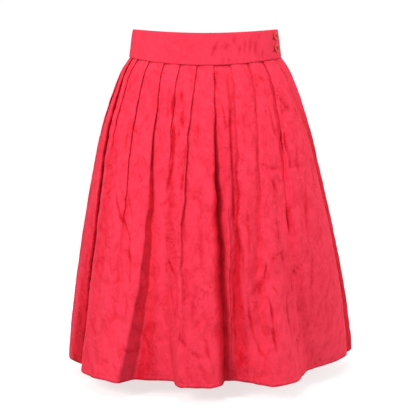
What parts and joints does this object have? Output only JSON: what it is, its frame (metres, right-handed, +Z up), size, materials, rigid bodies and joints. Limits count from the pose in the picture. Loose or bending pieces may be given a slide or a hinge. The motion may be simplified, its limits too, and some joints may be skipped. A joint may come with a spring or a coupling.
{
  "type": "pleated peasant skirt",
  "caption": "Knee-length red skirt with knife pleats falling from a shaped waistband that buttons at the wearer's left, worn and hollow.",
  "frame": {"origin": "middle of the waist, halfway up the waistband at the sides", "axes": "+Z up through the waist; the front of the skirt faces -Y; +X to the wearer's left, where the buttons are"},
  "size_m": [0.5163, 0.4495, 0.5838],
  "materials": {
    "skirt_cloth": "crinkled plain-woven cotton, matte",
    "band_cloth": "the same cotton, doubled and stiffened, matte",
    "button_plastic": "softly polished"
  },
  "bodies": {
    "root": {"skirt_front": "skirt_cloth", "skirt_back": "skirt_cloth", "waistband": "band_cloth", "button_upper": "button_plastic", "button_lower": "button_plastic"}
  },
  "joints": []
}
